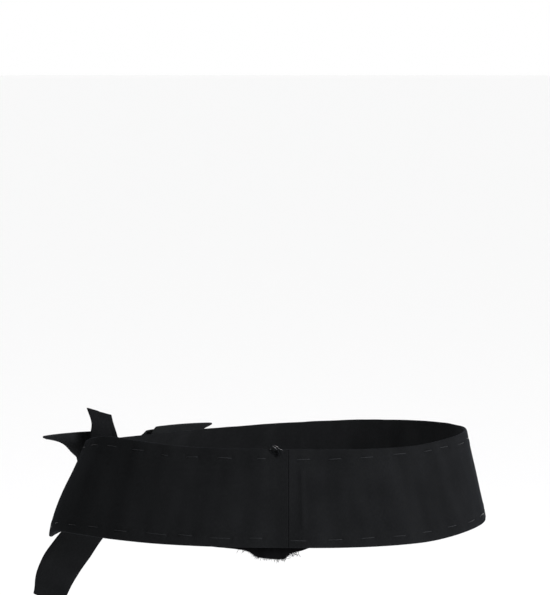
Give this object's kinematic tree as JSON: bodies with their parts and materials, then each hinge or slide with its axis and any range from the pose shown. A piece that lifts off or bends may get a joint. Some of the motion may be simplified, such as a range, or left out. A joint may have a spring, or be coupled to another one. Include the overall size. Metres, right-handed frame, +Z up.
{
  "type": "wide waist belt",
  "caption": "Wide stiff black cloth waist belt, worn form, meeting at the back over a hidden hook bar, with a large bow at the wearer's front left.",
  "frame": {"origin": "centre of the waist opening, halfway up the band at the centre back", "axes": "+X to the wearer's right, +Y to the wearer's front, +Z up"},
  "size_m": [0.3133, 0.2341, 0.149],
  "materials": {
    "belt_cloth": "matte black stiff woven cloth",
    "bow_cloth": "matte black stiff woven cloth",
    "underlap_cloth": "matte black cloth with raw edges",
    "hook_metal": "black, plain"
  },
  "bodies": {
    "root": {"band": "belt_cloth", "underlap": "underlap_cloth", "hook_bar": "hook_metal", "bow_loop_left": "bow_cloth", "bow_loop_right": "bow_cloth", "bow_tail_upper": "bow_cloth", "bow_tail_lower": "bow_cloth", "bow_knot": "bow_cloth"}
  },
  "joints": []
}
